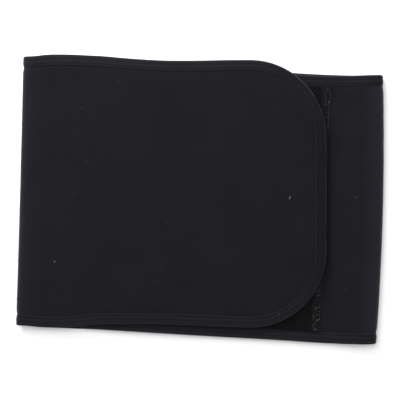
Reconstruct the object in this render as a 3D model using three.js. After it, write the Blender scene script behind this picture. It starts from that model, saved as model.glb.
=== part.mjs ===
// An abdominal binder: one long padded band, closed in front and laid flat on its back.
// Starting at its hidden end, the band runs to the right-hand fold, back along the surface that it lies on,
// round the left-hand fold and over the top as the flap, whose end has two large round corners.
//
// Every piece is drawn flat first. u runs along the band from its hidden end, v runs across it from its
// middle, and w is the height over its middle surface, towards its outer face. place(u, v, w) folds a flat
// point into the laid binder. X runs to the right along the flap, Y towards the top edge and Z up.
// Units are millimetres.
import * as THREE from "three";

// Sizes of the finished band
const bandWidth = 230;
const bandThickness = 3;
const underLength = 256.5;
const backLength = 292.6;
const flapLength = 256;
const flapCorner = 66;
const underCorner = 20;

// Edge binding, a tape folded over the band's edge, which it squeezes
const bindingWidth = 9;
const bindingThickness = 0.6;
const edgeSqueeze = 1.4;
const shoulderWidth = 6;

// Fastening
const pileThickness = 1.2;
const seamFromFold = 37.5;
const hookThickness = 1.2;
const hookLength = 72;
const hookInset = 3;
const patchCorner = 3;

// How the pieces lie
const clearance = 0.3;
const floorGap = 0.15;
const bendInside = 3.5;
const rightFoldReach = 8;
const leftFoldReach = 8;
const bulgeLength = 34;
const rampLength = 24;
const sagLength = 40;
const sagDepth = 0.6;
const edgeLiftLength = 16;

// Fineness of the facets
const flatStep = 21;
const foldSteps = 10;
const flapCornerSteps = 8;
const smallCornerSteps = 3;
const rows = 8;

// Half the thickness of the bare band, of the squeezed band, and of the squeezed band with its binding
const half = bandThickness / 2;
const squeezedHalf = (bandThickness - edgeSqueeze) / 2;
const insideHalf = squeezedHalf + clearance;
const boundHalf = insideHalf + bindingThickness;
const edgeInset = bindingThickness + clearance;

// Heights of the band's middle surface. Each layer lies on whatever stands highest below it, which is either
// the binding at the edges or the fastening in the middle.
const pileTop = half + clearance + pileThickness;
const hookBottom = half + clearance + hookThickness;
const backLevel = half;
const backEdgeLevel = boundHalf + floorGap;
const underLevel = backEdgeLevel + 2 * boundHalf + clearance;
const flapLevel = underLevel + Math.max(pileTop, boundHalf) + clearance + boundHalf;
const flapOverHookLevel = underLevel + pileTop + clearance + hookBottom;
const hookRise = Math.max(0, flapOverHookLevel - flapLevel);
const rightRadius = bendInside + half;
const rightTop = backLevel + 2 * rightRadius;
const leftRadius = (flapLevel - backLevel) / 2;

// Where each stretch starts along the band
const rightFoldAt = underLength;
const backAt = rightFoldAt + foldLength(rightFoldReach, rightRadius);
const leftFoldAt = backAt + backLength;
const flapAt = leftFoldAt + foldLength(leftFoldReach, leftRadius);
const bandLength = flapAt + flapLength;
const leftFoldX = -backLength / 2;
const rightFoldX = backLength / 2;
const hookAt = bandLength - bindingWidth - hookInset - hookLength;

// The stretches of the band that the next table divides
const underRun = { from: 0, length: underLength };
const foldRun = { from: rightFoldAt, length: backAt - rightFoldAt };
const backRun = { from: backAt, length: backLength };
const flapRun = { from: flapAt, length: flapLength };

// How the band lies in plan. Each row is a place along the band, a share of one stretch.
// drift: its centreline's Y, and swell: what its width gains, both as shares of the band's width.
// slant: degrees by which the line across the band leans to the right at the top.
// bow: how far that line bends to the right in its middle, a share of the band's width.
const layRows = [
  { on: underRun, at: 0, drift: 0.0197, swell: 0.0, slant: 2.9, bow: 0 },
  { on: underRun, at: 0.4, drift: -0.0081, swell: 0.0, slant: 2.8, bow: 0 },
  { on: underRun, at: 0.74, drift: -0.0291, swell: 0.001, slant: 2.7, bow: 0 },
  { on: underRun, at: 0.82, drift: -0.0345, swell: 0.003, slant: 2.6, bow: 0 },
  { on: underRun, at: 0.91, drift: -0.0374, swell: 0.008, slant: 2.1, bow: 0.005 },
  { on: underRun, at: 1, drift: -0.0374, swell: 0.0125, slant: 1.51, bow: 0.013 },
  { on: foldRun, at: 0.5, drift: -0.0365, swell: 0.0125, slant: 1.51, bow: 0.013 },
  { on: backRun, at: 0, drift: -0.0374, swell: 0.01, slant: 1.51, bow: 0.013 },
  { on: backRun, at: 0.12, drift: -0.0309, swell: 0.004, slant: 1.53, bow: 0.005 },
  { on: backRun, at: 0.24, drift: -0.0214, swell: 0.001, slant: 1.55, bow: 0 },
  { on: backRun, at: 0.5, drift: 0.0, swell: 0.0, slant: 1.56, bow: 0 },
  { on: backRun, at: 0.83, drift: 0.0165, swell: 0.007, slant: 1.58, bow: 0.001 },
  { on: backRun, at: 0.96, drift: 0.0262, swell: 0.0115, slant: 1.58, bow: 0.0015 },
  { on: backRun, at: 1, drift: 0.0325, swell: 0.0125, slant: 1.58, bow: 0.0015 },
  { on: flapRun, at: 0, drift: 0.0335, swell: 0.0135, slant: 1.58, bow: 0.0015 },
  { on: flapRun, at: 0.045, drift: 0.0337, swell: 0.024, slant: 1.52, bow: 0.001 },
  { on: flapRun, at: 0.11, drift: 0.0333, swell: 0.0265, slant: 1.4, bow: 0 },
  { on: flapRun, at: 0.18, drift: 0.0346, swell: 0.0178, slant: 1.25, bow: 0 },
  { on: flapRun, at: 0.235, drift: 0.0365, swell: 0.0078, slant: 1.1, bow: 0 },
  { on: flapRun, at: 0.34, drift: 0.0322, swell: -0.0035, slant: 0.9, bow: 0 },
  { on: flapRun, at: 0.445, drift: 0.0287, swell: -0.0096, slant: 0.7, bow: 0 },
  { on: flapRun, at: 0.55, drift: 0.0264, swell: -0.0063, slant: 0.5, bow: 0 },
  { on: flapRun, at: 0.655, drift: 0.0249, swell: 0.0003, slant: 0.3, bow: 0 },
  { on: flapRun, at: 0.75, drift: 0.0232, swell: 0.0046, slant: 0.15, bow: 0 },
  { on: flapRun, at: 1, drift: 0.0208, swell: 0.0037, slant: 0, bow: 0 },
].map((row) => ({ ...row, u: row.on.from + row.at * row.on.length }));

function smooth(from, to, value) {
  return THREE.MathUtils.smoothstep(value, from, to);
}

// A fold is half an ellipse, which reaches out by one half-axis and is as high as two of the other.
// Its length, and how far round it a share of that length comes, are close estimates.
function foldLength(reach, radius) {
  return (Math.PI * (reach + radius)) / 2;
}

function foldTurn(share, reach, radius) {
  const even = Math.PI * share;
  return even - ((reach - radius) / (2 * (reach + radius))) * Math.sin(2 * even);
}

// One column of the table above at any place along the band, on a smooth curve through its rows
function lay(column, u) {
  const last = layRows.length - 1;
  let k = 0;
  while (k < last - 1 && layRows[k + 1].u <= u) k += 1;
  const slopeAt = (i) => {
    const before = layRows[Math.max(i - 1, 0)];
    const after = layRows[Math.min(i + 1, last)];
    return (after[column] - before[column]) / (after.u - before.u);
  };
  const [a, b] = [layRows[k], layRows[k + 1]];
  const span = b.u - a.u;
  const t = THREE.MathUtils.clamp((u - a.u) / span, 0, 1);
  const easeIn = t * (1 - t) ** 2 * span * slopeAt(k);
  const easeOut = t ** 2 * (t - 1) * span * slopeAt(k + 1);
  return THREE.MathUtils.lerp(a[column], b[column], t * t * (3 - 2 * t)) + easeIn + easeOut;
}

// Height of the middle surface on each layer
function underHeight(u) {
  return THREE.MathUtils.lerp(underLevel, rightTop, smooth(underLength - bulgeLength, underLength, u));
}

function backHeight(v) {
  const boundFrom = bandWidth / 2 - bindingWidth;
  const lift = smooth(boundFrom - edgeLiftLength, boundFrom, Math.abs(v));
  return THREE.MathUtils.lerp(backLevel, backEdgeLevel, lift);
}

// The flap dips a little after its fold and lies higher over the hooks. Where it reaches the bulge of the
// under end, it rises with that.
function flapHeight(u) {
  const sag = sagDepth * Math.sin(Math.PI * THREE.MathUtils.clamp((u - flapAt) / sagLength, 0, 1)) ** 2;
  const overHooks = smooth(hookAt - rampLength, hookAt, u) - smooth(hookAt + hookLength, bandLength, u);
  const lead = (bandWidth / 2) * Math.tan(THREE.MathUtils.degToRad(lay("slant", rightFoldAt - bulgeLength)));
  const fromFold = backLength - (u - flapAt) - lead;
  return flapLevel - sag + hookRise * overHooks + underHeight(rightFoldAt - fromFold) - underLevel;
}

// X of the band's centreline and height of its middle surface
function section(u, v) {
  if (u < rightFoldAt) return { x: rightFoldX - (rightFoldAt - u), z: underHeight(u) };
  if (u < backAt) {
    const turn = foldTurn((u - rightFoldAt) / (backAt - rightFoldAt), rightFoldReach, rightRadius);
    const z = THREE.MathUtils.lerp(rightTop, backHeight(v), (1 - Math.cos(turn)) / 2);
    return { x: rightFoldX + rightFoldReach * Math.sin(turn), z };
  }
  if (u < leftFoldAt) return { x: rightFoldX - (u - backAt), z: backHeight(v) };
  if (u < flapAt) {
    const turn = foldTurn((u - leftFoldAt) / (flapAt - leftFoldAt), leftFoldReach, leftRadius);
    const z = THREE.MathUtils.lerp(backHeight(v), flapLevel, (1 - Math.cos(turn)) / 2);
    return { x: leftFoldX - leftFoldReach * Math.sin(turn), z };
  }
  return { x: leftFoldX + (u - flapAt), z: flapHeight(u) };
}

function middle(u, v) {
  const { x, z } = section(u, v);
  const across = (2 * v) / bandWidth;
  const lean = v * Math.tan(THREE.MathUtils.degToRad(lay("slant", u)));
  const bend = lay("bow", u) * bandWidth * (1 - across ** 2);
  const y = lay("drift", u) * bandWidth + v * (1 + lay("swell", u));
  return new THREE.Vector3(x + lean + bend, y, z);
}

function place(u, v, w) {
  const probe = 0.05;
  const along = middle(u + probe, v).sub(middle(u - probe, v));
  const across = middle(u, v + probe).sub(middle(u, v - probe));
  const outward = along.cross(across).normalize();
  return middle(u, v).addScaledVector(outward, w);
}

// Places along the band where facets meet: evenly on the flat stretches and closer round the folds
function stationsBetween(from, to) {
  const stretches = [
    [0, rightFoldAt, Math.ceil(underLength / flatStep)],
    [rightFoldAt, backAt, foldSteps],
    [backAt, leftFoldAt, Math.ceil(backLength / flatStep)],
    [leftFoldAt, flapAt, foldSteps],
    [flapAt, bandLength, Math.ceil(flapLength / flatStep)],
  ];
  const ends = [rightFoldAt - bulgeLength / 2, hookAt - rampLength, hookAt - rampLength / 2, hookAt];
  const places = [...ends];
  for (const [start, end, count] of stretches) {
    for (let i = 0; i < count; i += 1) places.push(start + ((end - start) * i) / count);
  }
  const least = flatStep / 5;
  const inside = places.filter((u) => u > from + least && u < to - least);
  return [...new Set(inside)].sort((a, b) => a - b);
}

// A flat strip with round corners, as the places where the lines across it meet its outline.
// Each has the outline's u and v, which are mirrored for the other long side, and the way in from it.
function stripLines({ start, end, halfWidth, startCorner, endCorner, startSteps, endSteps }) {
  const lines = [];
  for (let i = 0; i <= startSteps; i += 1) {
    const turn = (Math.PI / 2) * (i / startSteps);
    const [inU, inV] = [Math.cos(turn), Math.sin(turn)];
    lines.push({ u: start + startCorner * (1 - inU), v: halfWidth - startCorner * (1 - inV), inU, inV });
  }
  for (const u of stationsBetween(start + startCorner, end - endCorner)) {
    lines.push({ u, v: halfWidth, inU: 0, inV: 1 });
  }
  for (let i = endSteps; i >= 0; i -= 1) {
    const turn = (Math.PI / 2) * (i / endSteps);
    const [inU, inV] = [-Math.cos(turn), Math.sin(turn)];
    lines.push({ u: end - endCorner * (1 + inU), v: halfWidth - endCorner * (1 - inV), inU, inV });
  }
  return lines;
}

// The outline as one loop of flat points, each with its way in
function rimOf(lines) {
  const first = lines[0];
  const last = lines[lines.length - 1];
  const side = (line, sign) => ({ u: line.u, v: sign * line.v, inU: line.inU, inV: -sign * line.inV });
  const end = (line, share) => ({ u: line.u, v: line.v * share, inU: line.inU, inV: 0 });
  const rim = lines.map((line) => side(line, -1));
  for (let j = 1; j < rows; j += 1) rim.push(end(last, (2 * j) / rows - 1));
  rim.push(...[...lines].reverse().map((line) => side(line, 1)));
  for (let j = rows - 1; j > 0; j -= 1) rim.push(end(first, (2 * j) / rows - 1));
  return rim;
}

// A flat strip as points and quads: a grid inside, and one ring round it for each depth in from the outline
function flatSheet(lines, depths) {
  const innermost = depths[depths.length - 1];
  const points = [];
  const quads = [];
  lines.forEach((line, i) => {
    for (let j = 0; j <= rows; j += 1) {
      const halfHere = line.v - line.inV * innermost;
      const v = halfHere * ((2 * j) / rows - 1);
      points.push({ u: line.u + line.inU * innermost, v, depth: innermost });
      const corner = i * (rows + 1) + j;
      if (i > 0 && j > 0) quads.push([corner - rows - 2, corner - 1, corner, corner - rows - 1]);
    }
  });
  const last = lines.length - 1;
  let inner = lines.map((_, i) => i * (rows + 1));
  for (let j = 1; j < rows; j += 1) inner.push(last * (rows + 1) + j);
  inner.push(...lines.map((_, i) => (last - i) * (rows + 1) + rows));
  for (let j = rows - 1; j > 0; j -= 1) inner.push(j);
  const rim = rimOf(lines);
  for (const depth of [...depths].reverse().slice(1)) {
    const first = points.length;
    points.push(...rim.map(({ u, v, inU, inV }) => ({ u: u + inU * depth, v: v + inV * depth, depth })));
    const outer = rim.map((_, k) => first + k);
    outer.forEach((_, k) => {
      const next = (k + 1) % outer.length;
      quads.push([outer[k], outer[next], inner[next], inner[k]]);
    });
    inner = outer;
  }
  return { points, quads, rim: inner };
}

function geometryOf(positions, quads) {
  const geometry = new THREE.BufferGeometry();
  const numbers = positions.flatMap((p) => p.toArray());
  geometry.setAttribute("position", new THREE.Float32BufferAttribute(numbers, 3));
  geometry.setIndex(quads.flatMap(([a, b, c, d]) => [a, b, c, a, c, d]));
  geometry.computeVertexNormals();
  return geometry;
}

// A solid sheet between two heights over the band's middle surface. Each height is a function of the depth in
// from the sheet's outline.
function sheetGeometry(lines, depths, upper, lower) {
  const { points, quads, rim } = flatSheet(lines, depths);
  const count = points.length;
  const faceAt = (height) => points.map(({ u, v, depth }) => place(u, v, height(depth)));
  const positions = [...faceAt(upper), ...faceAt(lower)];
  const under = quads.map(([a, b, c, d]) => [d + count, c + count, b + count, a + count]);
  const wall = rim.map((a, k) => {
    const b = rim[(k + 1) % rim.length];
    return [a + count, b + count, b, a];
  });
  return geometryOf(positions, [...quads, ...under, ...wall]);
}

// A section of depth and height, carried all the way round an outline
function rimGeometry(lines, profile) {
  const rim = rimOf(lines);
  const positions = rim.flatMap(({ u, v, inU, inV }) => {
    return profile.map(([depth, w]) => place(u + inU * depth, v + inV * depth, w));
  });
  const quads = [];
  rim.forEach((_, i) => {
    const next = ((i + 1) % rim.length) * profile.length;
    profile.forEach((__, k) => {
      const after = (k + 1) % profile.length;
      const here = i * profile.length;
      quads.push([here + k, here + after, next + after, next + k]);
    });
  });
  return geometryOf(positions, quads);
}

const bandLines = stripLines({
  start: 0,
  end: bandLength,
  halfWidth: bandWidth / 2,
  startCorner: underCorner,
  endCorner: flapCorner,
  startSteps: smallCornerSteps,
  endSteps: flapCornerSteps,
});

function bandGeometry() {
  const squeezedTo = bindingWidth + clearance;
  const depths = [edgeInset, squeezedTo, squeezedTo + shoulderWidth];
  const thickness = (depth) => THREE.MathUtils.lerp(squeezedHalf, half, smooth(squeezedTo, depths[2], depth));
  return sheetGeometry(bandLines, depths, thickness, (depth) => -thickness(depth));
}

// The tape is bevelled at 45 degrees where it turns over the edge.
function bindingGeometry() {
  const turnedHalf = 0.7071 * boundHalf;
  const profile = [
    [bindingWidth, boundHalf],
    [boundHalf, boundHalf],
    [boundHalf - turnedHalf, turnedHalf],
    [0, 0],
    [boundHalf - turnedHalf, -turnedHalf],
    [boundHalf, -boundHalf],
    [bindingWidth, -boundHalf],
    [bindingWidth, -insideHalf],
    [bindingThickness, -insideHalf],
    [bindingThickness, insideHalf],
    [bindingWidth, insideHalf],
  ];
  return rimGeometry(bandLines, profile);
}

function loopPanelGeometry() {
  const inset = bindingWidth + clearance;
  const lines = stripLines({
    start: inset,
    end: underLength - seamFromFold,
    halfWidth: bandWidth / 2 - inset,
    startCorner: underCorner - inset,
    endCorner: patchCorner,
    startSteps: smallCornerSteps,
    endSteps: smallCornerSteps,
  });
  return sheetGeometry(lines, [0, patchCorner / 2], () => pileTop, () => pileTop - pileThickness);
}

function hookPatchGeometry() {
  const inset = bindingWidth + hookInset;
  const lines = stripLines({
    start: hookAt,
    end: hookAt + hookLength,
    halfWidth: bandWidth / 2 - inset,
    startCorner: patchCorner,
    endCorner: flapCorner - inset,
    startSteps: smallCornerSteps,
    endSteps: flapCornerSteps,
  });
  return sheetGeometry(lines, [0, patchCorner / 2], () => hookThickness - hookBottom, () => -hookBottom);
}

function mesh(name, geometry, color, roughness) {
  const material = new THREE.MeshStandardMaterial({ color, roughness, metalness: 0 });
  const made = new THREE.Mesh(geometry, material);
  made.name = name;
  return made;
}

const binder = new THREE.Group();
binder.add(mesh("band", bandGeometry(), 0x222226, 0.9));
binder.add(mesh("edge_binding", bindingGeometry(), 0x262629, 0.85));
binder.add(mesh("loop_panel", loopPanelGeometry(), 0x131315, 1));
binder.add(mesh("hook_patch", hookPatchGeometry(), 0x18181a, 0.7));

// The origin is in the middle of the binder's footprint, on the surface that it lies on.
const size = new THREE.Box3().setFromObject(binder);
const centre = size.getCenter(new THREE.Vector3());
binder.position.set(-centre.x, -centre.y, -size.min.z);

export default binder;
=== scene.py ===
"""The looks of an abdominal binder, closed in front and laid flat on its back.

As in the solid model, each piece is drawn flat first: u runs along the band from its hidden end, v across
it from its middle, and w is the height over its middle surface. place() folds flat points into the laid
binder. Lengths are in millimetres until a mesh is made.
"""

import bpy
import numpy as np
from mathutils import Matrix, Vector


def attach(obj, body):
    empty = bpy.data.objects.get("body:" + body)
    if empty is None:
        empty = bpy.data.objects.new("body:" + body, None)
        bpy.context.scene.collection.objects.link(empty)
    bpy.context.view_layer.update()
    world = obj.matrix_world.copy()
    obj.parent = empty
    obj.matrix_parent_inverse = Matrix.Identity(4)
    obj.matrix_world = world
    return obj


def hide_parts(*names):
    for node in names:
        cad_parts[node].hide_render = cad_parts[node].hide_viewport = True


# Metres in a millimetre
MM = 0.001

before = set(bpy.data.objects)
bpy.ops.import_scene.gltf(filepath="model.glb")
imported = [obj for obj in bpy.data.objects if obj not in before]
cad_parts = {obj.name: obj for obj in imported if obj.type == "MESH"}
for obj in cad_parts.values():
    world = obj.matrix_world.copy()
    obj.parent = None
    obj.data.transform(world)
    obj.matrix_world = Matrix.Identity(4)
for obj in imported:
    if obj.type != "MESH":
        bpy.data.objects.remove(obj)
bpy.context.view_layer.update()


def smooth(low, high, value):
    """A soft step from 0 at the low value to 1 at the high one."""
    t = np.clip((np.asarray(value, float) - low) / (high - low), 0, 1)
    return t * t * (3 - 2 * t)


def mix(a, b, t):
    """The value a share t of the way from a to b."""
    return a + (b - a) * t


def fold_length(reach, radius):
    """Length round a half-ellipse fold that reaches out so far, with half its height as radius."""
    return np.pi * (reach + radius) / 2


def fold_turn(share, reach, radius):
    """How far round a half-ellipse fold a share of its length comes."""
    even = np.pi * share
    return even - (reach - radius) / (2 * (reach + radius)) * np.sin(2 * even)


# Sizes, as in the solid model
BAND_WIDTH = 230.0
BAND_THICKNESS = 3.0
UNDER_LENGTH = 256.5
BACK_LENGTH = 292.6
FLAP_LENGTH = 256.0
FLAP_CORNER = 66.0
UNDER_CORNER = 20.0
BINDING_WIDTH = 9.0
BINDING_THICKNESS = 0.6
EDGE_SQUEEZE = 1.4
SHOULDER_WIDTH = 6.0
PILE_THICKNESS = 1.2
SEAM_FROM_FOLD = 37.5
HOOK_THICKNESS = 1.2
HOOK_LENGTH = 72.0
HOOK_INSET = 3.0
PATCH_CORNER = 3.0
CLEARANCE = 0.3
FLOOR_GAP = 0.15
BEND_INSIDE = 3.5
RIGHT_FOLD_REACH = 8.0
LEFT_FOLD_REACH = 8.0
BULGE_LENGTH = 34.0
RAMP_LENGTH = 24.0
SAG_LENGTH = 40.0
SAG_DEPTH = 0.6
EDGE_LIFT_LENGTH = 16.0
CENTRING = (-0.2095, -0.3527)

HALF = BAND_THICKNESS / 2
SQUEEZED_HALF = (BAND_THICKNESS - EDGE_SQUEEZE) / 2
INSIDE_HALF = SQUEEZED_HALF + CLEARANCE
BOUND_HALF = INSIDE_HALF + BINDING_THICKNESS
PILE_TOP = HALF + CLEARANCE + PILE_THICKNESS
HOOK_BOTTOM = HALF + CLEARANCE + HOOK_THICKNESS
BACK_LEVEL = HALF
BACK_EDGE_LEVEL = BOUND_HALF + FLOOR_GAP
UNDER_LEVEL = BACK_EDGE_LEVEL + 2 * BOUND_HALF + CLEARANCE
FLAP_LEVEL = UNDER_LEVEL + max(PILE_TOP, BOUND_HALF) + CLEARANCE + BOUND_HALF
HOOK_RISE = max(0.0, UNDER_LEVEL + PILE_TOP + CLEARANCE + HOOK_BOTTOM - FLAP_LEVEL)
RIGHT_RADIUS = BEND_INSIDE + HALF
RIGHT_TOP = BACK_LEVEL + 2 * RIGHT_RADIUS
LEFT_RADIUS = (FLAP_LEVEL - BACK_LEVEL) / 2
RIGHT_FOLD_AT = UNDER_LENGTH
BACK_AT = RIGHT_FOLD_AT + fold_length(RIGHT_FOLD_REACH, RIGHT_RADIUS)
LEFT_FOLD_AT = BACK_AT + BACK_LENGTH
FLAP_AT = LEFT_FOLD_AT + fold_length(LEFT_FOLD_REACH, LEFT_RADIUS)
BAND_LENGTH = FLAP_AT + FLAP_LENGTH
LEFT_FOLD_X = -BACK_LENGTH / 2
RIGHT_FOLD_X = BACK_LENGTH / 2
HOOK_AT = BAND_LENGTH - BINDING_WIDTH - HOOK_INSET - HOOK_LENGTH
SEAM_AT = UNDER_LENGTH - SEAM_FROM_FOLD

# How the band lies in plan: start and length of a stretch, share of it, drift, swell, slant and bow
UNDER, BACK, FLAP = (0, UNDER_LENGTH), (BACK_AT, BACK_LENGTH), (FLAP_AT, FLAP_LENGTH)
LAY = [
    (UNDER, 0, 0.0197, 0.0, 2.9, 0),
    (UNDER, 0.4, -0.0081, 0.0, 2.8, 0),
    (UNDER, 0.74, -0.0291, 0.001, 2.7, 0),
    (UNDER, 0.82, -0.0345, 0.003, 2.6, 0),
    (UNDER, 0.91, -0.0374, 0.008, 2.1, 0.005),
    (UNDER, 1, -0.0374, 0.0125, 1.51, 0.013),
    ((RIGHT_FOLD_AT, BACK_AT - RIGHT_FOLD_AT), 0.5, -0.0365, 0.0125, 1.51, 0.013),
    (BACK, 0, -0.0374, 0.01, 1.51, 0.013),
    (BACK, 0.12, -0.0309, 0.004, 1.53, 0.005),
    (BACK, 0.24, -0.0214, 0.001, 1.55, 0),
    (BACK, 0.5, 0.0, 0.0, 1.56, 0),
    (BACK, 0.83, 0.0165, 0.007, 1.58, 0.001),
    (BACK, 0.96, 0.0262, 0.0115, 1.58, 0.0015),
    (BACK, 1, 0.0325, 0.0125, 1.58, 0.0015),
    (FLAP, 0, 0.0335, 0.0135, 1.58, 0.0015),
    (FLAP, 0.045, 0.0337, 0.024, 1.52, 0.001),
    (FLAP, 0.11, 0.0333, 0.0265, 1.4, 0),
    (FLAP, 0.18, 0.0346, 0.0178, 1.25, 0),
    (FLAP, 0.235, 0.0365, 0.0078, 1.1, 0),
    (FLAP, 0.34, 0.0322, -0.0035, 0.9, 0),
    (FLAP, 0.445, 0.0287, -0.0096, 0.7, 0),
    (FLAP, 0.55, 0.0264, -0.0063, 0.5, 0),
    (FLAP, 0.655, 0.0249, 0.0003, 0.3, 0),
    (FLAP, 0.75, 0.0232, 0.0046, 0.15, 0),
    (FLAP, 1, 0.0208, 0.0037, 0, 0),
]
LAY_U = np.array([stretch[0] + share * stretch[1] for stretch, share, *_ in LAY])
LAY_VALUES = np.array([row[2:] for row in LAY], float)


def lay(u):
    """Drift, swell, slant and bow at u, on a smooth curve through the table's rows."""
    last = len(LAY) - 1
    before = np.maximum(np.arange(last + 1) - 1, 0)
    after = np.minimum(np.arange(last + 1) + 1, last)
    slopes = (LAY_VALUES[after] - LAY_VALUES[before]) / (LAY_U[after] - LAY_U[before])[:, None]
    u = np.asarray(u, float)
    k = np.clip(np.searchsorted(LAY_U, u, side="right") - 1, 0, last - 1)
    span = LAY_U[k + 1] - LAY_U[k]
    t = np.clip((u - LAY_U[k]) / span, 0, 1)[..., None]
    span = span[..., None]
    value = mix(LAY_VALUES[k], LAY_VALUES[k + 1], t * t * (3 - 2 * t))
    value = value + t * (1 - t) ** 2 * span * slopes[k] + t**2 * (t - 1) * span * slopes[k + 1]
    return np.moveaxis(value, -1, 0)


def waves(seed, count, longest, shortest):
    """A smooth random function of two lengths, about -1 to 1, with waves between two lengths."""
    rng = np.random.default_rng(seed)
    rate = 2 * np.pi / np.exp(rng.uniform(np.log(shortest), np.log(longest), count))
    turn = rng.uniform(0, np.pi, count)
    phase = rng.uniform(0, 2 * np.pi, count)
    weight = rng.uniform(0.5, 1, count)
    weight /= np.sqrt((weight**2).sum() / 2) * 1.6

    def value(a, b):
        a, b = np.asarray(a, float), np.asarray(b, float)
        arg = a[..., None] * rate * np.cos(turn) + b[..., None] * rate * np.sin(turn) + phase
        return (weight * np.sin(arg)).sum(-1)

    return value


broad = waves(seed=11, count=9, longest=150, shortest=60)
narrow = waves(seed=12, count=12, longest=45, shortest=18)
pucker = waves(seed=13, count=10, longest=26, shortest=9)


def edge_depth(u, v):
    """How far a flat point lies inside the band's outline, with its round corners."""
    half_width = BAND_WIDTH / 2
    side = half_width - np.abs(v)
    depth = np.minimum(np.minimum(u, BAND_LENGTH - u), side)
    for corner, along in ((UNDER_CORNER, u), (FLAP_CORNER, BAND_LENGTH - u)):
        in_corner = (along < corner) & (side < corner)
        depth = np.where(in_corner, corner - np.hypot(corner - along, corner - side), depth)
    return depth


def bell(at, width, value):
    """1 at one value, falling off on both sides over about the width."""
    return np.exp(-(((value - at) / width) ** 2))


# Ripples beside the seam: height, place past the seam and width
RIPPLES = [(1, -4, 12), (0.7, 17, 5), (0.5, 29, 5)]
CREASE_AT = 125


def relief(u, v):
    """Soft dents of the cloth, as a height over the solid's middle surface."""
    on_flap = smooth(FLAP_AT + 12, FLAP_AT + 60, u)
    on_front = 1 - smooth(RIGHT_FOLD_AT - 30, RIGHT_FOLD_AT - 6, u)
    on_back = smooth(RIGHT_FOLD_AT, BACK_AT, u) * (1 - smooth(LEFT_FOLD_AT, FLAP_AT, u))
    over_hooks = smooth(HOOK_AT - RAMP_LENGTH, HOOK_AT, u)
    past_seam = smooth(SEAM_AT - 10, SEAM_AT + 10, u)
    depth = np.maximum(edge_depth(u, v), 0)
    # Broad and narrow dents, flatter over the hooks and faint to the right of the seam
    soft = 0.22 * broad(u, v) + 0.07 * narrow(u, v)
    dents = on_flap * mix(1.0, 0.55, over_hooks) * (soft + 0.12)
    dents = dents + on_front * 0.35 * soft * past_seam
    # Gathers along the binding, and ripples at the upper end of the seam
    dents = dents + 0.13 * np.exp(-depth / 9) * pucker(u, 1.3 * v) * (1 - on_back)
    ripple = on_front * 0.5
    for weight, past, width in RIPPLES:
        ripple = ripple + weight * bell(SEAM_AT + past, width, u)
    dents = dents + 0.75 * ripple * bell(10, 6, depth) * (v > 0)
    # Lower edges curl up, and the flap's upper rim rolls down
    curl = 0.8 * on_front + 0.9 * bell(FLAP_AT + 42, 26, u)
    dents = dents + curl * np.exp(-depth / 4.5) * (v < 0)
    flatter = smooth(FLAP_AT + 45, FLAP_AT + 110, u)
    before_end = 1 - smooth(HOOK_AT, BAND_LENGTH - 30, u)
    roll = on_flap * mix(1.3, 0.6, flatter) * before_end
    dents = dents - roll * np.exp(-np.maximum(BAND_WIDTH / 2 - v, 0) / 9)
    # One short crease on the flap
    past_crease = u - FLAP_AT - CREASE_AT
    crease = bell(0, 12, past_crease) * bell(-51.2 + 0.025 * past_crease, 0.9, v)
    return dents - 0.12 * crease


def under_height(u):
    """Height of the under end's middle surface, which rises towards the right fold."""
    return mix(UNDER_LEVEL, RIGHT_TOP, smooth(UNDER_LENGTH - BULGE_LENGTH, UNDER_LENGTH, u))


def flap_height(u):
    """Height of the flap's middle surface, with a sag by the left fold and rises over what lies below."""
    sag = SAG_DEPTH * np.sin(np.pi * np.clip((u - FLAP_AT) / SAG_LENGTH, 0, 1)) ** 2
    over_hooks = smooth(HOOK_AT - RAMP_LENGTH, HOOK_AT, u) - smooth(HOOK_AT + HOOK_LENGTH, BAND_LENGTH, u)
    lead = BAND_WIDTH / 2 * np.tan(np.radians(lay(RIGHT_FOLD_AT - BULGE_LENGTH)[2]))
    from_fold = BACK_LENGTH - (u - FLAP_AT) - lead
    return FLAP_LEVEL - sag + HOOK_RISE * over_hooks + under_height(RIGHT_FOLD_AT - from_fold) - UNDER_LEVEL


def middle(u, v):
    """The folded places of flat points on the band's middle surface."""
    u, v = np.broadcast_arrays(np.asarray(u, float), np.asarray(v, float))
    drift, swell, slant, bow = lay(u)
    bound_from = BAND_WIDTH / 2 - BINDING_WIDTH
    back = mix(BACK_LEVEL, BACK_EDGE_LEVEL, smooth(bound_from - EDGE_LIFT_LENGTH, bound_from, np.abs(v)))
    right_turn = fold_turn((u - RIGHT_FOLD_AT) / (BACK_AT - RIGHT_FOLD_AT), RIGHT_FOLD_REACH, RIGHT_RADIUS)
    left_turn = fold_turn((u - LEFT_FOLD_AT) / (FLAP_AT - LEFT_FOLD_AT), LEFT_FOLD_REACH, LEFT_RADIUS)
    drawn_in = 0.12 * smooth(bound_from - 3, bound_from + 1, np.abs(v))
    places = [u < RIGHT_FOLD_AT, u < BACK_AT, u < LEFT_FOLD_AT, u < FLAP_AT]
    x = np.select(
        places,
        [
            RIGHT_FOLD_X - (RIGHT_FOLD_AT - u),
            RIGHT_FOLD_X + (RIGHT_FOLD_REACH - drawn_in) * np.sin(right_turn),
            RIGHT_FOLD_X - (u - BACK_AT),
            LEFT_FOLD_X - (LEFT_FOLD_REACH - drawn_in) * np.sin(left_turn),
        ],
        LEFT_FOLD_X + (u - FLAP_AT),
    )
    z = np.select(
        places,
        [
            under_height(u),
            mix(RIGHT_TOP, back, (1 - np.cos(right_turn)) / 2),
            back,
            mix(back, FLAP_LEVEL, (1 - np.cos(left_turn)) / 2),
        ],
        flap_height(u),
    )
    across = 2 * v / BAND_WIDTH
    x = x + v * np.tan(np.radians(slant)) + bow * BAND_WIDTH * (1 - across**2) + CENTRING[0]
    y = drift * BAND_WIDTH + v * (1 + swell) + CENTRING[1]
    return np.stack([x, y, z + relief(u, v)], -1)


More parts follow.
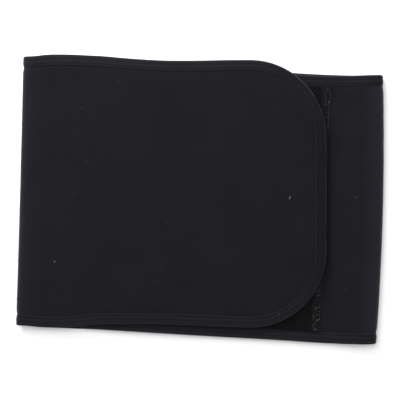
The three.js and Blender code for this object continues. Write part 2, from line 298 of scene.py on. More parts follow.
def frame_at(u, v):
    """The folded point at w = 0 and the sheet's directions there: along, across and outward."""
    probe = 0.1
    along = middle(u + probe, v) - middle(u - probe, v)
    across = middle(u, v + probe) - middle(u, v - probe)
    outward = np.cross(along, across)
    unit = [d / np.linalg.norm(d, axis=-1, keepdims=True) for d in (along, across, outward)]
    return middle(u, v), *unit


def place(u, v, w):
    """The folded places of flat points at a height over the middle surface."""
    point, _, _, outward = frame_at(u, v)
    return point + outward * np.asarray(w, float)[..., None]


# Stretches of an outline longer than this get the plain step, and shorter ones a third of it
LONG_STRETCH = 25


def strip_lines(start, end, half_width, start_corner, end_corner, step, corner_steps, holds=()):
    """A strip's upper outline, where the lines across it meet it, each place with its way in."""

    def corner(centre, radius, steps, sign):
        turn = np.linspace(0, np.pi / 2, steps + 1)
        if sign < 0:
            turn = turn[::-1]
        along = -sign * radius * np.cos(turn)
        return [
            (centre + a, half_width - radius * (1 - np.sin(t)), sign * np.cos(t), np.sin(t))
            for a, t in zip(along, turn)
        ]

    lines = corner(start + start_corner, start_corner, corner_steps[0], 1)
    first, last = start + start_corner, end - end_corner
    marks = sorted([first, last] + [m for m in holds if first < m < last])
    for a, b in zip(marks[:-1], marks[1:]):
        fine = step if b - a > LONG_STRETCH else step / 3
        count = max(1, int(np.ceil((b - a) / fine)))
        begin = 0 if a > first else 1
        lines += [(a + (b - a) * i / count, half_width, 0.0, 1.0) for i in range(begin, count)]
    lines += corner(last, end_corner, corner_steps[1], -1)
    return np.array(lines)


FOLDS = (RIGHT_FOLD_AT, BACK_AT, LEFT_FOLD_AT, FLAP_AT)
# Lowest height over the floor, where the cloth is pressed flat
PRESSED_TO = 0.02


def rim_of(lines, rows):
    """The outline as one loop: u, v and the way in, starting at the lower side."""
    u, v, in_u, in_v = lines.T
    share = 2 * np.arange(1, rows) / rows - 1
    lower = np.stack([u, -v, in_u, in_v], 1)
    upper = np.stack([u, v, in_u, -in_v], 1)[::-1]
    one, none = np.ones(rows - 1), np.zeros(rows - 1)
    ends = [np.stack([one * u[k], s * share * v[k], one * in_u[k], none], 1) for k, s in ((-1, 1), (0, -1))]
    return np.concatenate([lower, ends[0], upper, ends[1]])


def flat_sheet(lines, depths, rows):
    """A grid inside, and one ring round it for each depth in from the outline."""
    u, v, in_u, in_v = lines.T
    count = len(lines)
    share = 2 * np.arange(rows + 1) / rows - 1
    grid_u = np.repeat((u + in_u * depths[-1])[:, None], rows + 1, 1)
    grid_v = (v - in_v * depths[-1])[:, None] * share
    points = [np.stack([grid_u.ravel(), grid_v.ravel(), np.full(grid_u.size, depths[-1])], 1)]
    index = np.arange(count * (rows + 1)).reshape(count, rows + 1)
    cells = [index[:-1, :-1], index[1:, :-1], index[1:, 1:], index[:-1, 1:]]
    quads = [np.stack(cells, -1).reshape(-1, 4)]
    inner = np.concatenate([index[:, 0], index[-1, 1:-1], index[::-1, -1], index[0, 1:-1][::-1]])
    rim = rim_of(lines, rows)
    total = index.size
    for depth in depths[-2::-1]:
        ring = rim[:, :2] + rim[:, 2:] * depth
        points.append(np.column_stack([ring, np.full(len(rim), depth)]))
        outer = total + np.arange(len(rim))
        total += len(rim)
        quads.append(np.stack([outer, np.roll(outer, -1), np.roll(inner, -1), inner], 1))
        inner = outer
    return np.concatenate(points), np.concatenate(quads), inner


def make_mesh(name, positions, faces, flat, slot, material, node=None):
    """A mesh object in metres from points in millimetres, with the flat points as its UV map."""
    positions[:, 2] = np.maximum(positions[:, 2], PRESSED_TO)
    mesh = bpy.data.meshes.new(name)
    mesh.from_pydata((positions * MM).tolist(), [], faces)
    mesh.update()
    layer = mesh.uv_layers.new(name="flat")
    corners = np.empty(len(mesh.loops), int)
    mesh.loops.foreach_get("vertex_index", corners)
    layer.data.foreach_set("uv", (flat[corners] * MM).astype(np.float32).ravel())
    mesh.polygons.foreach_set("use_smooth", np.ones(len(mesh.polygons), bool))
    mesh.materials.append(material)
    piece = bpy.data.objects.new(name, mesh)
    bpy.context.scene.collection.objects.link(piece)
    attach(piece, "root")
    if node:
        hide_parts(node)
    return piece


def sheet_mesh(name, lines, depths, rows, upper, lower, **facts):
    """A solid sheet between two heights, each a function of u, v and the depth from its outline."""
    points, quads, rim = flat_sheet(lines, depths, rows)
    u, v, depth = points.T
    count = len(points)
    positions = np.concatenate([place(u, v, upper(u, v, depth)), place(u, v, lower(u, v, depth))])
    after = np.roll(rim, -1)
    wall = np.stack([rim + count, after + count, after, rim], 1)
    faces = np.concatenate([quads, quads[:, ::-1] + count, wall])
    return make_mesh(name, positions, faces.tolist(), np.tile(points[:, :2], (2, 1)), **facts)


def tubes_mesh(name, points, sides, radius, flat, **facts):
    """Threads as one mesh: points holds each thread's middle line, an array of thread, place and axis."""
    along = np.gradient(points, axis=1)
    along /= np.linalg.norm(along, axis=2, keepdims=True)
    up = np.broadcast_to(np.array([0.17, 0.11, 0.98]), along.shape)
    side = np.cross(up, along)
    side /= np.linalg.norm(side, axis=2, keepdims=True)
    up = np.cross(along, side)
    turn = 2 * np.pi * np.arange(sides) / sides
    ring = side[:, :, None] * np.cos(turn)[:, None] + up[:, :, None] * np.sin(turn)[:, None]
    radius = np.broadcast_to(np.asarray(radius, float), points.shape[:2])
    positions = points[:, :, None] + ring * radius[:, :, None, None]
    threads, places = points.shape[:2]
    index = np.arange(threads * places * sides).reshape(threads, places, sides)
    after = np.roll(index, -1, axis=2)
    quads = np.stack([index[:, :-1], after[:, :-1], after[:, 1:], index[:, 1:]], -1).reshape(-1, 4)
    ends = np.concatenate([index[:, 0, ::-1], index[:, -1]])
    flat = np.repeat(flat.reshape(-1, 2), sides, 0)
    return make_mesh(name, positions.reshape(-1, 3), quads.tolist() + ends.tolist(), flat, **facts)


# The binding's stitch rows: distance in from the edge, depth of the groove, and the tone left along it, a
# painted shade in the groove
ROWS = [(3.6, 0.22, 0.75), (7.3, 0.4, 0.4)]
# How far from a row the painted groove shade holds and where it ends, and the same for the painted shade
# round the middle of the flap's end, which faces away from the light
ROW_PAINTED_SHADE = (0.3, 0.8)
END_PAINTED_SHADE = (50, 130)
# Tone left at the middle of the flap's end: a painted shade
END_SHADE_LEFT = 0.1
# Middle of the flap's end, along the outline from the hidden end's lower corner
FLAP_END_AT = np.pi / 2 * (UNDER_CORNER + FLAP_CORNER) + BAND_LENGTH - UNDER_CORNER
FLAP_END_AT = FLAP_END_AT + BAND_WIDTH / 2 - 2 * FLAP_CORNER

# Length of one twist of a thread, in metres
TWIST = 0.00035
# Painted highlights, lighter stretches that stand in for light falling on the folds and on the tape's edges:
# the middle, how far each holds and where it ends along the flat map, and the tone added
FOLD_PAINTED_LIGHT = [
    ((RIGHT_FOLD_AT + BACK_AT) / 2, 6, 18, 1.6),
    ((LEFT_FOLD_AT + FLAP_AT) / 2, 9, 24, 0.4),
]
# Painted highlights on the tape: lighter along its upper edge, where light falls, and along the hidden end's
# lower edge below the flap, lifting its shade
TAPE_PAINTED_LIGHT = [(FLAP_END_AT + 252, 95, 135, 0.4), (115, 90, 150, 0.4)]


class Nodes:
    """A material's node tree, with short ways to add and link its nodes."""

    def __init__(self, name):
        self.material = bpy.data.materials.new(name)
        self.material.use_nodes = True
        self.tree = self.material.node_tree
        self.shader = self.tree.nodes["Principled BSDF"]

    def add(self, kind, settings=(), **inputs):
        node = self.tree.nodes.new(kind)
        for key, value in dict(settings).items():
            setattr(node, key, value)
        for key, value in inputs.items():
            socket = node.inputs[int(key[1:])] if key[0] == "_" else node.inputs[key.replace("_", " ")]
            if isinstance(value, bpy.types.NodeSocket):
                self.tree.links.new(value, socket)
            else:
                socket.default_value = value
        return node

    def maths(self, operation, a, b=0.0):
        return self.add("ShaderNodeMath", {"operation": operation}, _0=a, _1=b).outputs[0]

    def noise(self, vector, scale, detail=3.0, roughness=0.55):
        facts = {"Scale": scale, "Detail": detail, "Roughness": roughness}
        return self.add("ShaderNodeTexNoise", Vector=vector, **facts).outputs["Fac"]

    def range(self, value, low, high, to_low, to_high):
        limits = {"From_Min": low, "From_Max": high, "To_Min": to_low, "To_Max": to_high}
        return self.add("ShaderNodeMapRange", Value=value, **limits).outputs["Result"]

    def colour(self, share, dark, light):
        settings = {"data_type": "RGBA", "clamp_factor": False}
        return self.add("ShaderNodeMix", settings, _0=share, _6=(*dark, 1), _7=(*light, 1)).outputs[2]

    def link(self, socket, name):
        self.tree.links.new(socket, self.shader.inputs[name])


def knit_height(nodes, uv, wale, course):
    """The raised legs of a plain knit: columns of small V shapes."""
    split = nodes.add("ShaderNodeSeparateXYZ", Vector=uv)
    column = nodes.maths("MULTIPLY", split.outputs["Y"], 1000 / wale)
    row = nodes.maths("MULTIPLY", split.outputs["X"], 1000 / course)
    off = nodes.maths("ABSOLUTE", nodes.maths("SUBTRACT", nodes.maths("FRACT", column), 0.5))
    phase = nodes.maths("MULTIPLY", nodes.maths("ADD", row, nodes.maths("MULTIPLY", off, 1.3)), 2 * np.pi)
    legs = nodes.maths("MULTIPLY_ADD", nodes.maths("SINE", phase), 0.5)
    legs.node.inputs[2].default_value = 0.5
    gap = nodes.maths("SINE", nodes.maths("MULTIPLY", off, 2 * np.pi))
    return nodes.maths("MULTIPLY", legs, gap)


def away_from(nodes, value, at):
    """How far a value of the flat map is from a place given in millimetres."""
    return nodes.maths("ABSOLUTE", nodes.maths("SUBTRACT", value, at * MM))


def tape_painted_shade(nodes, uv, tone):
    """Painted shade on a tape: darker along its stitch rows, in the grooves' shade, and round the flap's end,
    which faces away from the light.
    """
    split = nodes.add("ShaderNodeSeparateXYZ", Vector=uv)
    across = nodes.maths("ABSOLUTE", split.outputs["Y"])
    for row, _, left in ROWS:
        darker = nodes.range(away_from(nodes, across, row), ROW_PAINTED_SHADE[0] * MM, ROW_PAINTED_SHADE[1] * MM, left, 1.0)
        tone = nodes.maths("MULTIPLY", tone, darker)
    # Painted shade round the flap's end, which faces away from the light
    from_end = away_from(nodes, split.outputs["X"], FLAP_END_AT)
    darker = nodes.range(from_end, END_PAINTED_SHADE[0] * MM, END_PAINTED_SHADE[1] * MM, END_SHADE_LEFT, 1.0)
    return nodes.maths("MULTIPLY", tone, darker)


def fabric(
    name,
    dark,
    light,
    wale,
    course,
    weave_depth,
    sheen,
    roughness=(0.82, 0.97),
    fuzz=0.35,
    tape=False,
    painted_light=(),
):
    """Knit or pile over the flat map, with its stitch sizes and weave depth in millimetres."""
    nodes = Nodes(name)
    uv = nodes.add("ShaderNodeTexCoord").outputs["UV"]
    knit = knit_height(nodes, uv, wale, course)
    cloud = nodes.noise(uv, scale=22.0, detail=4.0)
    grain = nodes.noise(uv, scale=1400.0, detail=2.0, roughness=0.6)
    patches = nodes.noise(uv, scale=95.0, detail=3.0)
    tone = nodes.maths("ADD", nodes.maths("MULTIPLY", cloud, 0.5), nodes.maths("MULTIPLY", patches, 0.2))
    tone = nodes.maths("ADD", tone, nodes.maths("MULTIPLY", grain, 0.2))
    tone = nodes.maths("ADD", tone, nodes.maths("MULTIPLY", knit, 0.2))
    tone = nodes.range(tone, 0.3, 0.8, 0.0, 1.0)
    # The tape's painted shade along its stitch rows and round the flap's end
    if tape:
        tone = tape_painted_shade(nodes, uv, tone)
    along = nodes.add("ShaderNodeSeparateXYZ", Vector=uv).outputs["X"]
    # Painted highlights: tone added along the given stretches of the flat map, in place of light on the folds
    # and edges
    for at, holds, ends, added in painted_light:
        lighter = nodes.range(away_from(nodes, along, at), holds * MM, ends * MM, added, 0.0)
        tone = nodes.maths("ADD", tone, lighter)
    nodes.link(nodes.colour(tone, dark, light), "Base Color")
    nodes.link(nodes.range(nodes.maths("ADD", patches, grain), 0.6, 1.4, *roughness), "Roughness")
    height = nodes.maths("ADD", knit, nodes.maths("MULTIPLY", grain, fuzz))
    bump = nodes.add("ShaderNodeBump", Height=height, Strength=0.5, Distance=weave_depth * MM)
    nodes.link(bump.outputs["Normal"], "Normal")
    nodes.shader.inputs["Specular IOR Level"].default_value = 0.1
    nodes.shader.inputs["Sheen Weight"].default_value = sheen
    nodes.shader.inputs["Sheen Roughness"].default_value = 0.5
    nodes.shader.inputs["Sheen Tint"].default_value = (0.91, 0.91, 1.0, 1)
    return nodes.material


def thread_material(name, dark, light):
    """Twisted thread, with its twist along the flat map's diagonal."""
    nodes = Nodes(name)
    uv = nodes.add("ShaderNodeTexCoord").outputs["UV"]
    split = nodes.add("ShaderNodeSeparateXYZ", Vector=uv)
    diagonal = nodes.maths("ADD", split.outputs["X"], nodes.maths("MULTIPLY", split.outputs["Y"], 0.8))
    twist = nodes.maths("SINE", nodes.maths("MULTIPLY", diagonal, 2 * np.pi / TWIST))
    spots = nodes.noise(uv, scale=400.0, detail=2.0)
    nodes.link(nodes.colour(spots, dark, light), "Base Color")
    nodes.link(nodes.range(spots, 0.3, 0.7, 0.42, 0.62), "Roughness")
    bump = nodes.add("ShaderNodeBump", Height=twist, Strength=0.5, Distance=0.00006)
    nodes.link(bump.outputs["Normal"], "Normal")
    nodes.shader.inputs["Specular IOR Level"].default_value = 0.06
    return nodes.material


band_cloth = fabric(
    "band_knit",
    dark=(0.0015, 0.0015, 0.0031),
    light=(0.0039, 0.0039, 0.0065),
    wale=0.8,
    course=0.62,
    weave_depth=0.10,
    sheen=0.167,
    painted_light=FOLD_PAINTED_LIGHT,
)
tape_cloth = fabric(
    "binding_knit",
    dark=(0.0028, 0.0028, 0.0048),
    light=(0.0083, 0.0083, 0.0106),
    wale=0.62,
    course=0.5,
    weave_depth=0.08,
    sheen=0.118,
    tape=True,
    painted_light=TAPE_PAINTED_LIGHT,
)
pile_cloth = fabric(
    "loop_pile",
    dark=(0.002, 0.002, 0.0022),
    light=(0.0045, 0.0045, 0.0048),
    wale=0.7,
    course=0.7,
    weave_depth=0.25,
    sheen=0.03,
    roughness=(0.93, 1.0),
    fuzz=2.0,
)
strip_cloth = fabric(
    "seam_strip",
    dark=(0.0014, 0.0014, 0.0026),
    light=(0.0034, 0.0034, 0.0050),
    wale=0.9,
    course=0.5,
    weave_depth=0.12,
    sheen=0.14,
)
hook_cloth = fabric(
    "hook_tape",
    dark=(0.006, 0.006, 0.0068),
    light=(0.010, 0.010, 0.011),
    wale=1.3,
    course=0.9,
    weave_depth=0.3,
    sheen=0.02,
    roughness=(0.4, 0.6),
    fuzz=0.2,
)
thread_black = thread_material("binding_thread", (0.0022, 0.0022, 0.0030), (0.005, 0.005, 0.0065))
thread_grey = thread_material("seam_thread", (0.012, 0.011, 0.012), (0.070, 0.064, 0.067))
tuft_grey = thread_material("seam_tufts", (0.015, 0.014, 0.015), (0.160, 0.148, 0.154))
hair_grey = thread_material("hair", (0.022, 0.022, 0.024), (0.046, 0.046, 0.048))
lint_white = thread_material("lint", (0.10, 0.10, 0.11), (0.24, 0.24, 0.25))


# How far in from the edge the band is squeezed
SQUEEZED_TO = BINDING_WIDTH + CLEARANCE


def band_half(u, v, depth):
    """Half the band's thickness: full in the middle, and squeezed under the binding."""
    shoulder = smooth(SQUEEZED_TO - 1.5, SQUEEZED_TO + SHOULDER_WIDTH, depth)
    return mix(SQUEEZED_HALF, HALF, shoulder) + 0.05 * narrow(2.1 * u, 1.9 * v) * shoulder


def band_inside(_u, _v, depth):
    """Height of the band's inner face, which is plain."""
    return -mix(SQUEEZED_HALF, HALF, smooth(SQUEEZED_TO, SQUEEZED_TO + SHOULDER_WIDTH, depth))


band_outline = (0, BAND_LENGTH, BAND_WIDTH / 2, UNDER_CORNER, FLAP_CORNER)
band = sheet_mesh(
    "band_cloth",
    lines=strip_lines(*band_outline, step=2.6, corner_steps=(12, 40), holds=FOLDS),
    depths=[1.1, 4.0, 7.0, 8.6, 9.6, 10.6, 11.8, 13.2, 15.0, 17.5],
    rows=78,
    upper=band_half,
    lower=band_inside,
    slot="band_fabric",
    material=band_cloth,
    node="band",
)


# Length of a stitch, and the tape's steps: round the outline, extra ones at a fold, and those that find them
STITCH = 3.0
TAPE_STEPS = 1100
FOLD_STEPS = 60
FINE_STEPS = 40000
# How far in the tape's edge is rounded, and the width of a stitch row's groove
EDGE_ROUND = 1.9
GROOVE_WIDTH = 0.6


def dense_rim():
    """The outline's u, v and way in at any distance round it, and its whole length."""
    lines = strip_lines(*band_outline, step=1.0, corner_steps=(40, 120), holds=FOLDS)
    rim = rim_of(lines, rows=200)
    closed = np.vstack([rim, rim[:1]])
    step = np.hypot(*np.diff(closed[:, :2], axis=0).T)
    run = np.concatenate([[0], np.cumsum(step)])

    def at(s):
        values = np.stack([np.interp(np.mod(s, run[-1]), run, closed[:, k]) for k in range(4)], -1)
        values[..., 2:] /= np.linalg.norm(values[..., 2:], axis=-1, keepdims=True)
        return values

    return at, run[-1]


rim_at, rim_length = dense_rim()
STITCHES = int(rim_length // STITCH)
PITCH = rim_length / STITCHES


def tape_top(depth, s):
    """Height of the tape's outer surface, with a groove along each stitch row and a puff between them."""
    rise = np.sqrt(np.clip(1 - (1 - np.clip(depth / EDGE_ROUND, 0, 1)) ** 2, 0, 1))
    top = mix(0.0, BOUND_HALF - 0.08, rise)
    pinch = 0.75 + 0.25 * np.cos(2 * np.pi * s / PITCH)
    for row, groove, _ in ROWS:
        top = top - groove * bell(row, GROOVE_WIDTH, depth) * pinch
    top = top + 0.07 * bell(5.5, 1.1, depth)
    return top - 0.38 * smooth(BINDING_WIDTH - 1.2, BINDING_WIDTH, depth)


def binding_profile():
    """Depths of the tape's section: over its top from the inner edge, round the edge and back inside."""
    far_half = [9.0, 8.7, 8.3, 7.9, 7.6, 7.3, 7.0, 6.6, 6.1, 5.5]
    near_half = [4.9, 4.4, 4.0, 3.6, 3.2, 2.7, 2.1, 1.4, 0.8, 0.3]
    top = np.array(far_half + near_half)
    inside = np.array([9.0, 7.3, 5.5, 3.6, 1.2])
    depth = np.concatenate([top, [0.0], top[::-1], inside, inside[::-1]])
    one_top, one_inside = np.ones(len(top)), np.ones(len(inside))
    side = np.concatenate([one_top, [0.0], -one_top, -one_inside, one_inside])
    within = np.concatenate([np.zeros(2 * len(top) + 1), np.ones(2 * len(inside))])
    return depth, side, within


def near_fold(start, end):
    """Extra places round the outline where it passes a fold, on both long sides."""
    s = np.linspace(0, rim_length, FINE_STEPS + 1)
    u = rim_at(s)[:, 0]
    inside = s[(u > start) & (u < end)]
    return inside[:: max(1, len(inside) // FOLD_STEPS)]


def binding_mesh():
    """The tape folded over the edge, as one closed section swept round the outline."""
    s = rim_length * np.arange(TAPE_STEPS) / TAPE_STEPS
    s = np.unique(np.concatenate([s, near_fold(RIGHT_FOLD_AT, BACK_AT), near_fold(LEFT_FOLD_AT, FLAP_AT)]))
    depth, side, within = binding_profile()
    u, v, in_u, in_v = (a[:, None] for a in rim_at(s).T)
    outer = tape_top(depth[None, :], s[:, None])
    w = side * np.where(within > 0, SQUEEZED_HALF + 0.12, outer)
    flat_u, flat_v = u + in_u * depth, v + in_v * depth
    positions = place(flat_u, flat_v, w).reshape(-1, 3)
    count, section = len(s), len(depth)
    index = np.arange(count * section).reshape(count, section)
    ahead, beside = np.roll(index, -1, 0), np.roll(index, -1, 1)
    quads = np.stack([index, beside, np.roll(ahead, -1, 1), ahead], -1).reshape(-1, 4)
    wrapped = np.where(side == 0, 0, depth) * np.where(side < 0, -1, 1)
    flat = np.stack(np.broadcast_arrays(s[:, None], wrapped), -1).reshape(-1, 2)
    facts = {"slot": "binding_tape", "material": tape_cloth, "node": "edge_binding"}
    return make_mesh("binding_tape", positions, quads.tolist(), flat, **facts)


binding = binding_mesh()


def stitch_rows(name, sign):
    """Straight stitches along both rows of the binding, each sinking into the tape at its ends."""
    t = np.linspace(0, 1, 6)
    threads, flats = [], []
    for row, _, _ in ROWS:
        s = (np.arange(STITCHES)[:, None] + 0.06 + 0.88 * t) * PITCH
        u, v, in_u, in_v = np.moveaxis(rim_at(s), -1, 0)
        height = tape_top(np.full(s.shape, row), s) + 0.1 - 0.4 * (2 * t - 1) ** 4
        threads.append(place(u + in_u * row, v + in_v * row, sign * height))
        flats.append(np.stack([s, np.full(s.shape, row)], -1))
    threads, flats = np.concatenate(threads), np.concatenate(flats)
    look = {"slot": "binding_tape", "material": thread_black}
    return tubes_mesh(name, threads, sides=5, radius=0.15, flat=flats, **look)


outer_stitches = stitch_rows("outer_stitches", 1)
inner_stitches = stitch_rows("inner_stitches", -1)

# The loop panel's brushed pile, and a flat strip of tape over its sewn end
STRIP_WIDTH = 7.2
STRIP_TOP = HALF + CLEARANCE + 0.75
PILE_LOW = PILE_TOP - 0.45
STRIP_AT = SEAM_AT - STRIP_WIDTH
PUCKER_AT = 97.0
ZIGZAG = 2.6
STRIP_STEP = (STRIP_AT - 0.8, STRIP_AT + 0.3)
panel_inset = BINDING_WIDTH + CLEARANCE
panel_half = BAND_WIDTH / 2 - panel_inset
rough = waves(seed=21, count=24, longest=6.0, shortest=1.6)


def panel_top(u, v, depth):
    """Height of the pile's rough face, which sinks below the strip and at the panel's outline."""
    under_strip = smooth(*STRIP_STEP, u)
    face = mix(PILE_LOW + 0.09 * rough(u, v), STRIP_TOP - 0.35, under_strip)
    return face - 0.2 * (1 - smooth(0, 0.8, depth))


panel_outline = (panel_inset, SEAM_AT, panel_half, UNDER_CORNER - panel_inset, PATCH_CORNER)
panel = sheet_mesh(
    "pile_panel",
    lines=strip_lines(*panel_outline, step=1.6, corner_steps=(6, 5), holds=STRIP_STEP),
    depths=[0, 0.4, 0.9, 1.6],
    rows=130,
    upper=panel_top,
    lower=lambda u, v, depth: np.full(np.shape(u), PILE_TOP - PILE_THICKNESS),
    slot="loop_pile",
    material=pile_cloth,
    node="loop_panel",
)


def pile_loops():
    """Loops of pile where the loop panel shows beyond the flap's two corners."""
    rng = np.random.default_rng(8)
    count, zone_length, zone_width = 6400, 34, 31
    u = STRIP_AT - rng.uniform(0.2, zone_length, count)
    v = (panel_half - rng.uniform(0.3, zone_width, count)) * np.where(np.arange(count) % 2, 1, -1)
    heading = rng.uniform(0, 2 * np.pi, count)
    reach = rng.uniform(0.18, 0.42, count)
    height = rng.uniform(0.22, 0.46, count)
    turn = np.linspace(0.1, np.pi - 0.1, 4)
    off = reach[:, None] * np.cos(turn)
    loop_u = u[:, None] + off * np.cos(heading)[:, None]
    loop_v = v[:, None] + off * np.sin(heading)[:, None]
    w = PILE_LOW - 0.08 + height[:, None] * np.sin(turn)
    flat = np.stack([loop_u, loop_v], -1)
    look = {"slot": "loop_pile", "material": pile_cloth}
    return tubes_mesh("pile_loops", place(loop_u, loop_v, w), sides=3, radius=0.055, flat=flat, **look)


loops = pile_loops()


def strip_end(v):
    """The strip's right-hand edge, a little uneven, with one pucker towards the top."""
    return SEAM_AT + 0.2 * rough(0.6 * v, 3.0) + 1.5 * bell(PUCKER_AT, 4.5, v)


def strip_height(u, v):
    """The strip's upper face: ridges of the zigzag under it, a pucker, and soft edges."""
    share = (u - STRIP_AT) / (strip_end(v) - STRIP_AT)
    ridge = 0.07 * np.sin(2 * np.pi * (v / ZIGZAG + 0.5 * share)) + 0.06 * rough(1.4 * u, 1.4 * v)
    edge = smooth(0, 0.12, share) * (1 - smooth(0.88, 1, share))
    beyond = smooth(SEAM_AT - 1.5, SEAM_AT + 0.3, u)
    top = mix(STRIP_TOP, HALF + 0.75, beyond)
    return top + ridge * edge - 0.3 * (1 - edge) + 0.5 * bell(PUCKER_AT, 4.5, v) * bell(0.72, 0.22, share)


def seam_strip():
    """A closed flat tape over the panel's end, from edge to edge of the band inside its binding."""
    columns, steps = 15, 300
    share = np.linspace(0, 1, columns)
    v = np.linspace(-panel_half + 0.2, panel_half - 0.2, steps)[:, None]
    u = mix(STRIP_AT, strip_end(v), share)
    v = np.broadcast_to(v, u.shape)
    upper = strip_height(u, v)
    lower = np.where(u > SEAM_AT - 0.3, HALF + 0.12, upper - 0.3)
    positions = np.concatenate([place(u, v, upper).reshape(-1, 3), place(u, v, lower).reshape(-1, 3)])
    index = np.arange(steps * columns).reshape(steps, columns)
    quads = np.stack([index[:-1, :-1], index[:-1, 1:], index[1:, 1:], index[1:, :-1]], -1).reshape(-1, 4)
    rim = np.concatenate([index[0], index[1:, -1], index[-1, -2::-1], index[-2:0:-1, 0]])
    after = np.roll(rim, -1)
    wall = np.stack([rim + index.size, after + index.size, after, rim], 1)
    faces = np.concatenate([quads, quads[:, ::-1] + index.size, wall])
    flat = np.tile(np.stack([u, v], -1).reshape(-1, 2), (2, 1))
    return make_mesh("seam_strip", positions, faces.tolist(), flat, "loop_pile", strip_cloth)


strip = seam_strip()


def seam_stitches():
    """The dark zigzag that holds the strip, mostly sunk into it."""
    rng = np.random.default_rng(5)
    count = int(2 * (2 * panel_half - 4) // ZIGZAG)
    t = np.linspace(0, 1, 7)
    left = (np.arange(count) % 2 == 0)[:, None]
    near, far = STRIP_AT + 0.7, SEAM_AT - 0.8
    u = np.where(left, mix(near, far, t), mix(far, near, t)) + rng.normal(0, 0.1, (count, 1))
    v = -panel_half + 2 + ZIGZAG / 2 * (np.arange(count)[:, None] + t) + rng.normal(0, 0.07, (count, 1))
    w = strip_height(u, v) + 0.06 - 0.3 * (2 * t - 1) ** 6
    flat = np.stack([u, v], -1)
    look = {"slot": "loop_pile", "material": thread_black}
    return tubes_mesh("seam_stitches", place(u, v, w), sides=5, radius=0.14, flat=flat, **look)


zigzag = seam_stitches()


def loose_threads(name, seed, low, high, thickness, material):
    """Short tufts or knots on the seam strip: so many at its lower end, and so many by the pucker."""
    rng = np.random.default_rng(seed)
    count = low + high
    v = np.concatenate([rng.uniform(-panel_half + 1.2, -50, low), rng.normal(PUCKER_AT - 8, 12, high)])
    v = np.clip(v, -panel_half + 1, panel_half - 1.5)
    u = rng.uniform(STRIP_AT + 0.6, SEAM_AT - 0.7, count)
    heading = np.where(rng.random(count) < 0.6, rng.normal(0.2, 0.3, count), rng.normal(1.4, 0.35, count))
    reach = rng.uniform(0.25, 0.75, count)
    lift = rng.uniform(-0.1, 0.15, count)
    t = np.linspace(-1, 1, 7)
    bend = rng.normal(0, 0.2, count)[:, None] * (1 - t**2)
    thread_u = u[:, None] + reach[:, None] * t * np.cos(heading)[:, None] + bend
    thread_u = np.clip(thread_u, STRIP_AT + 0.2, SEAM_AT)
    thread_v = v[:, None] + reach[:, None] * t * np.sin(heading)[:, None] + bend
    w = strip_height(thread_u, thread_v) + lift[:, None] + 0.08 - 0.3 * np.abs(t) ** 5
    radius = rng.uniform(*thickness, count)[:, None] * (1 - 0.4 * np.abs(t) ** 3)
    flat = np.stack([thread_u, thread_v], -1)
    points = place(thread_u, thread_v, w)
    return tubes_mesh(name, points, sides=5, radius=radius, flat=flat, slot="loop_pile", material=material)


def pucker_thread():
    """Longer light threads down both sides of the pucker and on below it."""
    steps = 40
    left_v = np.linspace(PUCKER_AT + 6, PUCKER_AT - 9, steps)
    right_v = np.linspace(PUCKER_AT + 8, PUCKER_AT - 26, steps)
    v = np.stack([left_v, right_v])
    left_u = STRIP_AT + 2.9 + 0.4 * bell(PUCKER_AT, 4, left_v)
    right_u = strip_end(right_v) - 0.7
    u = np.stack([left_u, right_u])
    dip = 0.16 * np.sin(np.stack([0.9 * left_v, 1.7 * right_v])) * (np.abs(v - PUCKER_AT) > 5)
    w = strip_height(u, v) + 0.08 - np.abs(dip)
    flat = np.stack([u, v], -1)
    look = {"slot": "loop_pile", "material": thread_grey}
    return tubes_mesh("pucker_threads", place(u, v, w), sides=6, radius=0.15, flat=flat, **look)


loose = loose_threads("loose_threads", 17, low=62, high=12, thickness=(0.12, 0.24), material=tuft_grey)
knots = loose_threads("dark_knots", 23, low=44, high=6, thickness=(0.16, 0.28), material=thread_black)
long_thread = pucker_thread()

patch_inset = BINDING_WIDTH + HOOK_INSET
patch_half = BAND_WIDTH / 2 - patch_inset
patch_outline = (HOOK_AT, HOOK_AT + HOOK_LENGTH, patch_half, PATCH_CORNER, FLAP_CORNER - patch_inset)
patch = sheet_mesh(
    "hook_sheet",
    lines=strip_lines(*patch_outline, step=3.0, corner_steps=(4, 24)),
    depths=[0, 0.5, 1.2],
    rows=60,
    upper=lambda u, v, depth: np.full(np.shape(u), HOOK_THICKNESS - HOOK_BOTTOM),
    lower=lambda u, v, depth: -HOOK_BOTTOM + 0.15 * (1 - smooth(0, 1, depth)),
    slot="hook_tape",
    material=hook_cloth,
    node="hook_patch",
)


# Depth from the outline that stands for the band's full thickness
WELL_INSIDE = 40.0
# Lint: stretch, place along it and across the band, length, thickness, heading in degrees, and bend
LINT = [
    ("flap", 225.1, -3.5, 3.0, 0.42, 75, 1.1),
    ("flap", 22.8, -59.8, 1.9, 0.36, 25, 0.4),
    ("flap", 118.2, -25.8, 1.1, 0.14, 160, 0.1),
    ("flap", 48.9, 24.8, 1.0, 0.12, 130, 0.1),
    ("flap", 74.3, 94.6, 1.1, 0.20, 40, 0.1),
    ("flap", 158.0, 97.8, 0.9, 0.14, 100, 0.1),
    ("flap", 33.9, -87.5, 0.9, 0.14, 10, 0.1),
    ("flap", 149.5, -69.5, 0.8, 0.13, 80, 0.1),
    ("flap", 54.2, 40.7, 0.8, 0.12, 150, 0.1),
    ("flap", 42.4, 70.0, 1.2, 0.13, 0, 0.1),
    ("flap", 37.4, -2.9, 0.8, 0.13, 110, 0.1),
    ("flap", 225.4, -96.2, 1.3, 0.13, 40, 0.1),
    ("flap", 214.9, -103.2, 1.8, 0.18, 5, 0.1),
    ("under", 222.0, 56.5, 0.9, 0.15, 60, 0.2),
    ("under", 244.2, 10.7, 2.4, 0.09, 5, 0.1),
    ("under", 238.2, -68.4, 0.9, 0.16, 25, 0.1),
]
# Places along the flap and across the band that the hair passes
HAIR = [(103.0, -79.1), (109.5, -78.6), (114.9, -75.4), (116.4, -70.1), (114.2, -65.9), (110.4, -63.3)]


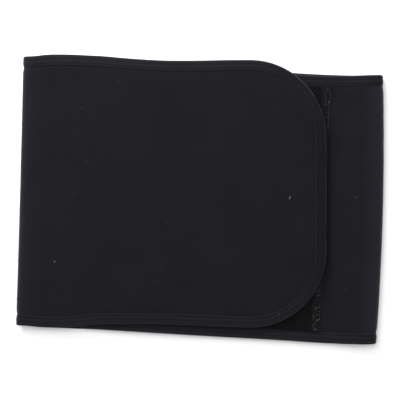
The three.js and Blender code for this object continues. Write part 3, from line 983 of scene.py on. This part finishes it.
def lint():
    """Specks of lint on the cloth."""
    t = np.linspace(-1, 1, 9)
    rows_u, rows_v, radii = [], [], []
    for stretch, along, across, length, thickness, heading, bend in LINT:
        angle = np.radians(heading)
        run, off = 0.5 * length * t, bend * (1 - t**2)
        start = FLAP_AT if stretch == "flap" else 0.0
        rows_u.append(start + along + run * np.cos(angle) - off * np.sin(angle))
        rows_v.append(across + run * np.sin(angle) + off * np.cos(angle))
        radii.append(0.65 * thickness * (1 - 0.6 * np.abs(t) ** 3))
    u, v = np.array(rows_u), np.array(rows_v)
    flat = np.stack([u, v], -1)
    w = band_half(u, v, np.full(u.shape, WELL_INSIDE)) + 0.1
    look = {"slot": "band_fabric", "material": lint_white}
    return tubes_mesh("lint", place(u, v, w), sides=5, radius=np.array(radii), flat=flat, **look)


def hair():
    """One fine curved hair on the flap."""
    marks = np.array(HAIR)
    t = np.linspace(0, len(marks) - 1, 46)
    u, v = (np.interp(t, np.arange(len(marks)), marks[:, k]) for k in (0, 1))
    even = np.array([0.25, 0.5, 0.25])
    for _ in range(6):
        u[1:-1], v[1:-1] = np.convolve(u, even, "valid"), np.convolve(v, even, "valid")
    u = FLAP_AT + u
    w = band_half(u, v, np.full(u.shape, WELL_INSIDE)) + 0.06
    flat = np.stack([u, v], -1)[None]
    look = {"slot": "band_fabric", "material": hair_grey}
    return tubes_mesh("hair", place(u, v, w)[None], sides=4, radius=0.075, flat=flat, **look)


specks, strand = lint(), hair()

# View from above: pixels over the band's width and over the frame, the lens and the level it is set for
BAND_PIXELS = 265.6
FRAME_PIXELS = 398.9
LENS_HEIGHT = 2.2
VIEW_LEVEL = 0.012
SENSOR_WIDTH = 36
FLOOR_HALF = 4
FLOOR_LEVEL = -0.0002


def make_floor():
    """A white floor, just below the binder's lowest point."""
    mesh = bpy.data.meshes.new("floor")
    corners = [(a * FLOOR_HALF, b * FLOOR_HALF, FLOOR_LEVEL) for a, b in ((-1, -1), (1, -1), (1, 1), (-1, 1))]
    mesh.from_pydata(corners, [], [(0, 1, 2, 3)])
    nodes = Nodes("floor_white")
    spots = nodes.noise(nodes.add("ShaderNodeTexCoord").outputs["Object"], scale=3.0)
    nodes.link(nodes.colour(spots, (0.88, 0.88, 0.88), (0.9, 0.9, 0.9)), "Base Color")
    nodes.shader.inputs["Roughness"].default_value = 0.9
    nodes.shader.inputs["Specular IOR Level"].default_value = 0.1
    mesh.materials.append(nodes.material)
    floor = bpy.data.objects.new("floor", mesh)
    bpy.context.scene.collection.objects.link(floor)


def area_light(name, stand, size, power):
    """A square white lamp that shines at the middle of the floor."""
    data = bpy.data.lights.new(name, "AREA")
    data.shape = "SQUARE"
    data.size = size
    data.energy = power
    light = bpy.data.objects.new(name, data)
    light.location = stand
    light.rotation_euler = (-Vector(stand)).to_track_quat("-Z", "Y").to_euler()
    bpy.context.scene.collection.objects.link(light)


make_floor()
area_light("key", (-0.52, 0.75, 0.55), size=0.6, power=15)
area_light("side", (0.8, 0.05, 0.4), size=0.5, power=0.9)
area_light("top", (-0.1, 0.2, 1.6), size=1.4, power=29)
world = bpy.data.worlds.new("studio")
world.use_nodes = True
background = world.node_tree.nodes["Background"]
background.inputs["Color"].default_value = (1, 1, 1, 1)
background.inputs["Strength"].default_value = 0.2
bpy.context.scene.world = world
bpy.context.scene.view_settings.view_transform = "Standard"

camera_data = bpy.data.cameras.new("camera")
camera_data.sensor_width = SENSOR_WIDTH
view_width = FRAME_PIXELS * (BAND_WIDTH / BAND_PIXELS) * MM
camera_data.lens = SENSOR_WIDTH * (LENS_HEIGHT - VIEW_LEVEL) / view_width
camera = bpy.data.objects.new("camera", camera_data)
camera.location = (0.0002, -0.0005, LENS_HEIGHT)
bpy.context.scene.collection.objects.link(camera)
bpy.context.scene.camera = camera
